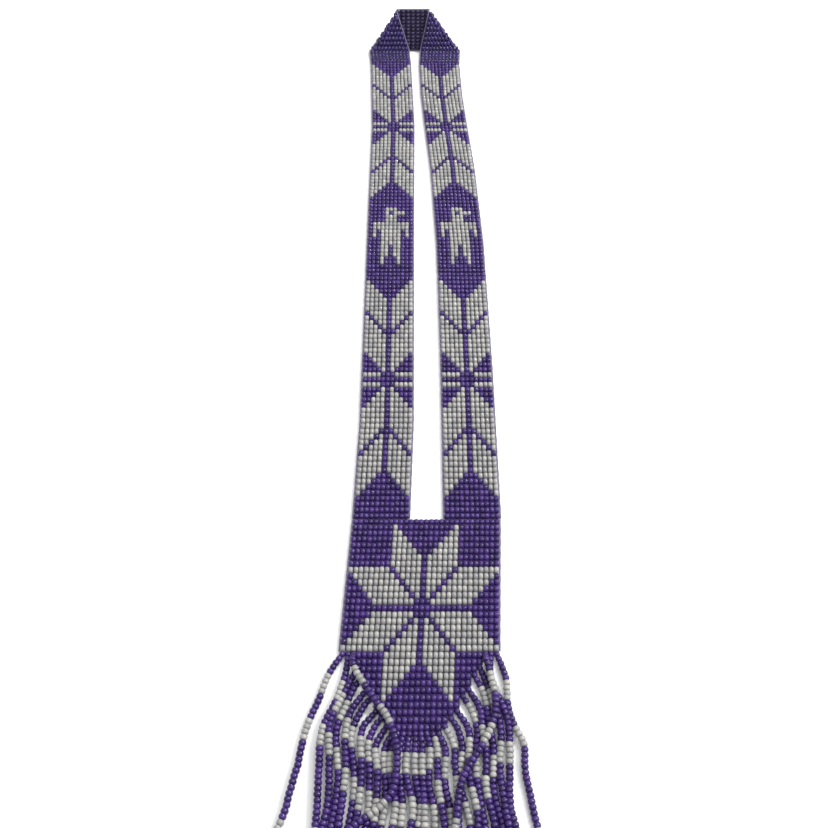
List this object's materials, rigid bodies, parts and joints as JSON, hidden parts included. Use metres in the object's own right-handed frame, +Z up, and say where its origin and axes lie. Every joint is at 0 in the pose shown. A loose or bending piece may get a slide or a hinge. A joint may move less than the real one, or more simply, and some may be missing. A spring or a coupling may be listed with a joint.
{
  "type": "beaded necklace",
  "caption": "Loom-woven glass bead necklace: star panel with a long bead fringe on two patterned straps that join in a neck band.",
  "frame": {"origin": "on the table, under the middle of the woven part (panel, straps and neck band)", "axes": "+Z up from the table, +Y from the fringe to the neck band, +X to the right"},
  "size_m": [0.075, 0.4233, 0.0155],
  "materials": {
    "purple_beads": "rounded purple glass seed beads with a soft lustre",
    "white_beads": "rounded pearl white glass seed beads",
    "edge_thread": "waxed beading thread, grey with a violet cast"
  },
  "bodies": {
    "panel": {"panel_purple_beads": "purple_beads", "panel_star_beads": "white_beads", "panel_edge_threads": "edge_thread"},
    "lower_straps": {"left_lower_strap_purple_beads": "purple_beads", "left_lower_strap_white_beads": "white_beads", "left_lower_strap_edge_threads": "edge_thread", "right_lower_strap_purple_beads": "purple_beads", "right_lower_strap_white_beads": "white_beads", "right_lower_strap_edge_threads": "edge_thread"},
    "upper_straps": {"left_upper_strap_purple_beads": "purple_beads", "left_upper_strap_white_beads": "white_beads", "left_upper_strap_edge_threads": "edge_thread", "right_upper_strap_purple_beads": "purple_beads", "right_upper_strap_white_beads": "white_beads", "right_upper_strap_edge_threads": "edge_thread"},
    "neck_band": {"neck_band_beads": "purple_beads", "neck_band_edge_threads": "edge_thread"},
    "strand_left_14": {"strand_left_14": "purple_beads"},
    "strand_left_13": {"strand_left_13": "purple_beads"},
    "strand_left_12": {"strand_left_12": "purple_beads"},
    "strand_left_11": {"strand_left_11": "purple_beads"},
    "strand_left_10": {"strand_left_10": "purple_beads"},
    "strand_left_9": {"strand_left_9": "purple_beads"},
    "strand_left_8": {"strand_left_8": "purple_beads"},
    "strand_left_7": {"strand_left_7": "purple_beads"},
    "strand_left_6": {"strand_left_6": "purple_beads"},
    "strand_left_5": {"strand_left_5": "purple_beads"},
    "strand_left_4": {"strand_left_4": "purple_beads"},
    "strand_left_3": {"strand_left_3": "purple_beads"},
    "strand_left_2": {"strand_left_2": "purple_beads"},
    "strand_left_1": {"strand_left_1": "purple_beads"},
    "strand_middle": {"strand_middle": "purple_beads"},
    "strand_right_1": {"strand_right_1": "purple_beads"},
    "strand_right_2": {"strand_right_2": "purple_beads"},
    "strand_right_3": {"strand_right_3": "purple_beads"},
    "strand_right_4": {"strand_right_4": "purple_beads"},
    "strand_right_5": {"strand_right_5": "purple_beads"},
    "strand_right_6": {"strand_right_6": "purple_beads"},
    "strand_right_7": {"strand_right_7": "purple_beads"},
    "strand_right_8": {"strand_right_8": "purple_beads"},
    "strand_right_9": {"strand_right_9": "purple_beads"},
    "strand_right_10": {"strand_right_10": "purple_beads"},
    "strand_right_11": {"strand_right_11": "purple_beads"},
    "strand_right_12": {"strand_right_12": "purple_beads"},
    "strand_right_13": {"strand_right_13": "purple_beads"},
    "strand_right_14": {"strand_right_14": "purple_beads"}
  },
  "joints": [
    {"name": "fold_at_panel", "type": "hinge", "parent": "panel", "child": "lower_straps", "pos_m": [0.001, -0.1028, 0.00105], "axis": [1, 0, 0], "range_deg": [-90, 90]},
    {"name": "fold_at_birds", "type": "hinge", "parent": "lower_straps", "child": "upper_straps", "pos_m": [0.001, 0.0093, 0.00105], "axis": [1, 0, 0], "range_deg": [-90, 90]},
    {"name": "fold_at_neck", "type": "hinge", "parent": "upper_straps", "child": "neck_band", "pos_m": [-0.0025, 0.14795, 0.00105], "axis": [1, 0, 0], "range_deg": [-90, 90]},
    {"name": "strand_left_14_lift", "type": "hinge", "parent": "panel", "child": "strand_left_14", "pos_m": [-0.02369, -0.1468, 0.00105], "axis": [-1, 0, 0], "range_deg": [0, 90]},
    {"name": "strand_left_13_lift", "type": "hinge", "parent": "panel", "child": "strand_left_13", "pos_m": [-0.02209, -0.1468, 0.00105], "axis": [-1, 0, 0], "range_deg": [0, 90]},
    {"name": "strand_left_12_lift", "type": "hinge", "parent": "panel", "child": "strand_left_12", "pos_m": [-0.02049, -0.1468, 0.00105], "axis": [-1, 0, 0], "range_deg": [0, 90]},
    {"name": "strand_left_11_lift", "type": "hinge", "parent": "panel", "child": "strand_left_11", "pos_m": [-0.01912, -0.1512, 0.00105], "axis": [-1, 0, 0], "range_deg": [0, 90]},
    {"name": "strand_left_10_lift", "type": "hinge", "parent": "panel", "child": "strand_left_10", "pos_m": [-0.01763, -0.1534, 0.00105], "axis": [-1, 0, 0], "range_deg": [0, 90]},
    {"name": "strand_left_9_lift", "type": "hinge", "parent": "panel", "child": "strand_left_9", "pos_m": [-0.01626, -0.1578, 0.00105], "axis": [-1, 0, 0], "range_deg": [0, 90]},
    {"name": "strand_left_8_lift", "type": "hinge", "parent": "panel", "child": "strand_left_8", "pos_m": [-0.01477, -0.16, 0.00105], "axis": [-1, 0, 0], "range_deg": [0, 90]},
    {"name": "strand_left_7_lift", "type": "hinge", "parent": "panel", "child": "strand_left_7", "pos_m": [-0.0134, -0.1644, 0.00105], "axis": [-1, 0, 0], "range_deg": [0, 90]},
    {"name": "strand_left_6_lift", "type": "hinge", "parent": "panel", "child": "strand_left_6", "pos_m": [-0.01192, -0.1666, 0.00105], "axis": [-1, 0, 0], "range_deg": [0, 90]},
    {"name": "strand_left_5_lift", "type": "hinge", "parent": "panel", "child": "strand_left_5", "pos_m": [-0.01043, -0.1688, 0.00105], "axis": [-1, 0, 0], "range_deg": [0, 90]},
    {"name": "strand_left_4_lift", "type": "hinge", "parent": "panel", "child": "strand_left_4", "pos_m": [-0.00895, -0.171, 0.00105], "axis": [-1, 0, 0], "range_deg": [0, 90]},
    {"name": "strand_left_3_lift", "type": "hinge", "parent": "panel", "child": "strand_left_3", "pos_m": [-0.00735, -0.171, 0.00105], "axis": [-1, 0, 0], "range_deg": [0, 90]},
    {"name": "strand_left_2_lift", "type": "hinge", "parent": "panel", "child": "strand_left_2", "pos_m": [-0.00575, -0.171, 0.00105], "axis": [-1, 0, 0], "range_deg": [0, 90]},
    {"name": "strand_left_1_lift", "type": "hinge", "parent": "panel", "child": "strand_left_1", "pos_m": [-0.00415, -0.171, 0.00105], "axis": [-1, 0, 0], "range_deg": [0, 90]},
    {"name": "strand_middle_lift", "type": "hinge", "parent": "panel", "child": "strand_middle", "pos_m": [-0.00255, -0.171, 0.00105], "axis": [-1, 0, 0], "range_deg": [0, 90]},
    {"name": "strand_right_1_lift", "type": "hinge", "parent": "panel", "child": "strand_right_1", "pos_m": [-0.00095, -0.171, 0.00105], "axis": [-1, 0, 0], "range_deg": [0, 90]},
    {"name": "strand_right_2_lift", "type": "hinge", "parent": "panel", "child": "strand_right_2", "pos_m": [0.00065, -0.171, 0.00105], "axis": [-1, 0, 0], "range_deg": [0, 90]},
    {"name": "strand_right_3_lift", "type": "hinge", "parent": "panel", "child": "strand_right_3", "pos_m": [0.00225, -0.171, 0.00105], "axis": [-1, 0, 0], "range_deg": [0, 90]},
    {"name": "strand_right_4_lift", "type": "hinge", "parent": "panel", "child": "strand_right_4", "pos_m": [0.00385, -0.171, 0.00105], "axis": [-1, 0, 0], "range_deg": [0, 90]},
    {"name": "strand_right_5_lift", "type": "hinge", "parent": "panel", "child": "strand_right_5", "pos_m": [0.00557, -0.1688, 0.00105], "axis": [-1, 0, 0], "range_deg": [0, 90]},
    {"name": "strand_right_6_lift", "type": "hinge", "parent": "panel", "child": "strand_right_6", "pos_m": [0.00728, -0.1666, 0.00105], "axis": [-1, 0, 0], "range_deg": [0, 90]},
    {"name": "strand_right_7_lift", "type": "hinge", "parent": "panel", "child": "strand_right_7", "pos_m": [0.009, -0.1644, 0.00105], "axis": [-1, 0, 0], "range_deg": [0, 90]},
    {"name": "strand_right_8_lift", "type": "hinge", "parent": "panel", "child": "strand_right_8", "pos_m": [0.01083, -0.16, 0.00105], "axis": [-1, 0, 0], "range_deg": [0, 90]},
    {"name": "strand_right_9_lift", "type": "hinge", "parent": "panel", "child": "strand_right_9", "pos_m": [0.01254, -0.1578, 0.00105], "axis": [-1, 0, 0], "range_deg": [0, 90]},
    {"name": "strand_right_10_lift", "type": "hinge", "parent": "panel", "child": "strand_right_10", "pos_m": [0.01437, -0.1534, 0.00105], "axis": [-1, 0, 0], "range_deg": [0, 90]},
    {"name": "strand_right_11_lift", "type": "hinge", "parent": "panel", "child": "strand_right_11", "pos_m": [0.01608, -0.1512, 0.00105], "axis": [-1, 0, 0], "range_deg": [0, 90]},
    {"name": "strand_right_12_lift", "type": "hinge", "parent": "panel", "child": "strand_right_12", "pos_m": [0.01791, -0.1468, 0.00105], "axis": [-1, 0, 0], "range_deg": [0, 90]},
    {"name": "strand_right_13_lift", "type": "hinge", "parent": "panel", "child": "strand_right_13", "pos_m": [0.01951, -0.1468, 0.00105], "axis": [-1, 0, 0], "range_deg": [0, 90]},
    {"name": "strand_right_14_lift", "type": "hinge", "parent": "panel", "child": "strand_right_14", "pos_m": [0.02111, -0.1468, 0.00105], "axis": [-1, 0, 0], "range_deg": [0, 90]}
  ],
  "couplings": [
    {"joint": "strand_left_14_lift", "follows": "strand_middle_lift", "ratio": 1},
    {"joint": "strand_left_13_lift", "follows": "strand_middle_lift", "ratio": 1},
    {"joint": "strand_left_12_lift", "follows": "strand_middle_lift", "ratio": 1},
    {"joint": "strand_left_11_lift", "follows": "strand_middle_lift", "ratio": 1},
    {"joint": "strand_left_10_lift", "follows": "strand_middle_lift", "ratio": 1},
    {"joint": "strand_left_9_lift", "follows": "strand_middle_lift", "ratio": 1},
    {"joint": "strand_left_8_lift", "follows": "strand_middle_lift", "ratio": 1},
    {"joint": "strand_left_7_lift", "follows": "strand_middle_lift", "ratio": 1},
    {"joint": "strand_left_6_lift", "follows": "strand_middle_lift", "ratio": 1},
    {"joint": "strand_left_5_lift", "follows": "strand_middle_lift", "ratio": 1},
    {"joint": "strand_left_4_lift", "follows": "strand_middle_lift", "ratio": 1},
    {"joint": "strand_left_3_lift", "follows": "strand_middle_lift", "ratio": 1},
    {"joint": "strand_left_2_lift", "follows": "strand_middle_lift", "ratio": 1},
    {"joint": "strand_left_1_lift", "follows": "strand_middle_lift", "ratio": 1},
    {"joint": "strand_right_1_lift", "follows": "strand_middle_lift", "ratio": 1},
    {"joint": "strand_right_2_lift", "follows": "strand_middle_lift", "ratio": 1},
    {"joint": "strand_right_3_lift", "follows": "strand_middle_lift", "ratio": 1},
    {"joint": "strand_right_4_lift", "follows": "strand_middle_lift", "ratio": 1},
    {"joint": "strand_right_5_lift", "follows": "strand_middle_lift", "ratio": 1},
    {"joint": "strand_right_6_lift", "follows": "strand_middle_lift", "ratio": 1},
    {"joint": "strand_right_7_lift", "follows": "strand_middle_lift", "ratio": 1},
    {"joint": "strand_right_8_lift", "follows": "strand_middle_lift", "ratio": 1},
    {"joint": "strand_right_9_lift", "follows": "strand_middle_lift", "ratio": 1},
    {"joint": "strand_right_10_lift", "follows": "strand_middle_lift", "ratio": 1},
    {"joint": "strand_right_11_lift", "follows": "strand_middle_lift", "ratio": 1},
    {"joint": "strand_right_12_lift", "follows": "strand_middle_lift", "ratio": 1},
    {"joint": "strand_right_13_lift", "follows": "strand_middle_lift", "ratio": 1},
    {"joint": "strand_right_14_lift", "follows": "strand_middle_lift", "ratio": 1}
  ]
}
